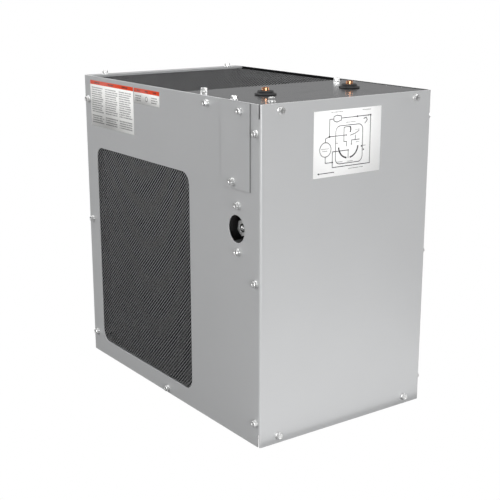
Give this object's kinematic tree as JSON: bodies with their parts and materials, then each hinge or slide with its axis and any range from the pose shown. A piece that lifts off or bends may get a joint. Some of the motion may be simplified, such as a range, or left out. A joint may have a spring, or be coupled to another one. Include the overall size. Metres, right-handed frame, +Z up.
{
  "type": "refrigerated air dryer",
  "caption": "Compact refrigerated compressed-air dryer: a folded steel cabinet with a side condenser grille, top grille, twin copper air ports and a control panel.",
  "frame": {"origin": "centre of the cabinet's footprint, on the surface it stands on", "axes": "+Z up, +X the side with the large condenser grille, +Y the rear, front panel facing -Y"},
  "size_m": [0.2799, 0.4474, 0.4385],
  "materials": {
    "cabinet_steel": "satin silver-grey, faint rolled grain",
    "top_steel": "smooth, semi-gloss grey",
    "grille_steel": "perforated, satin grey",
    "chassis_steel": "galvanised, dull",
    "black_paint": "semi-gloss black enamel",
    "coated_fins": "black-coated fins and end plates",
    "copper": "bright copper tube, slightly tarnished",
    "brass": "machined brass",
    "zinc": "bright zinc plate",
    "aluminium": "plain aluminium",
    "foam": "closed-cell foam insulation, matt black",
    "rubber": "matt black",
    "black_plastic": "moulded, fine texture",
    "white_plastic": "moulded, off-white",
    "clear_plastic": "clear window",
    "red_plastic": "gloss red",
    "green_lens": "translucent green"
  },
  "bodies": {
    "cabinet": {"wrapper": "cabinet_steel", "base_pan": "chassis_steel", "front_panel": "cabinet_steel", "top_rear_panel": "top_steel", "top_grille": "grille_steel", "right_grille": "grille_steel", "access_cover": "cabinet_steel", "divider_panel": "chassis_steel", "condenser_coil": "coated_fins", "fan_shroud": "black_paint", "fan_motor": "black_paint", "fan_motor_bracket": "chassis_steel", "compressor_lower_shell": "black_paint", "compressor_upper_shell": "black_paint", "compressor_stator": "chassis_steel", "compressor_base_plate": "black_paint", "compressor_foot_1": "rubber", "compressor_foot_2": "rubber", "compressor_foot_3": "rubber", "compressor_foot_4": "rubber", "compressor_terminal_cover": "black_plastic", "heat_exchanger_core": "aluminium", "insulation_front_half": "foam", "insulation_rear_half": "foam", "separator_bowl": "aluminium", "separator_head": "aluminium", "drain_valve_body": "brass", "air_inlet_tube": "copper", "air_outlet_tube": "copper", "inlet_grommet": "rubber", "outlet_grommet": "rubber", "crossover_tube_wet": "copper", "crossover_tube_dry": "copper", "drain_fitting": "black_plastic", "drain_tube": "white_plastic", "discharge_line": "copper", "liquid_line": "copper", "filter_drier": "copper", "capillary_tube": "copper", "suction_line": "copper", "hot_gas_line": "copper", "bypass_line": "copper", "bypass_valve_body": "zinc", "valve_bracket": "chassis_steel", "electrical_box": "chassis_steel", "terminal_block": "white_plastic", "run_capacitor": "aluminium", "gauge_case": "black_plastic", "gauge_lens": "clear_plastic", "rocker_frame": "black_plastic", "pilot_lamp": "green_lens", "power_inlet": "black_plastic"},
    "fan": {"fan_blade": "black_plastic", "fan_shaft": "zinc"},
    "compressor_rotor": {"compressor_rotor": "zinc"},
    "rocker": {"rocker_button": "red_plastic"},
    "needle": {"gauge_needle": "red_plastic"},
    "float": {"drain_float": "white_plastic"},
    "drain_knob": {"drain_knob": "black_plastic"},
    "stem": {"bypass_stem": "zinc"}
  },
  "joints": [
    {"name": "fan_spin", "type": "hinge", "parent": "cabinet", "child": "fan", "pos_m": [0.074, -0.0635, 0.173], "axis": [1, 0, 0], "continuous": true},
    {"name": "rotor_spin", "type": "hinge", "parent": "cabinet", "child": "compressor_rotor", "pos_m": [-0.068, -0.118, 0.083], "axis": [0, 0, 1], "continuous": true},
    {"name": "rocker_tilt", "type": "hinge", "parent": "cabinet", "child": "rocker", "pos_m": [0.006, -0.2208, 0.352], "axis": [1, 0, 0], "range_deg": [0, 20]},
    {"name": "needle_swing", "type": "hinge", "parent": "cabinet", "child": "needle", "pos_m": [-0.072, -0.22, 0.352], "axis": [0, 1, 0], "range_deg": [0, 240], "stiffness_Nm_per_rad": 0.0001},
    {"name": "float_lift", "type": "slide", "parent": "cabinet", "child": "float", "axis": [0, 0, 1], "range_m": [0, 0.01]},
    {"name": "drain_turn", "type": "hinge", "parent": "cabinet", "child": "drain_knob", "pos_m": [-0.096, 0.138, 0.046], "axis": [0, 0, 1], "range_deg": [0, 90]},
    {"name": "stem_turn", "type": "hinge", "parent": "cabinet", "child": "stem", "pos_m": [0.122, 0.172, 0.2736], "axis": [1, 0, 0], "range_deg": [0, 1620]}
  ]
}
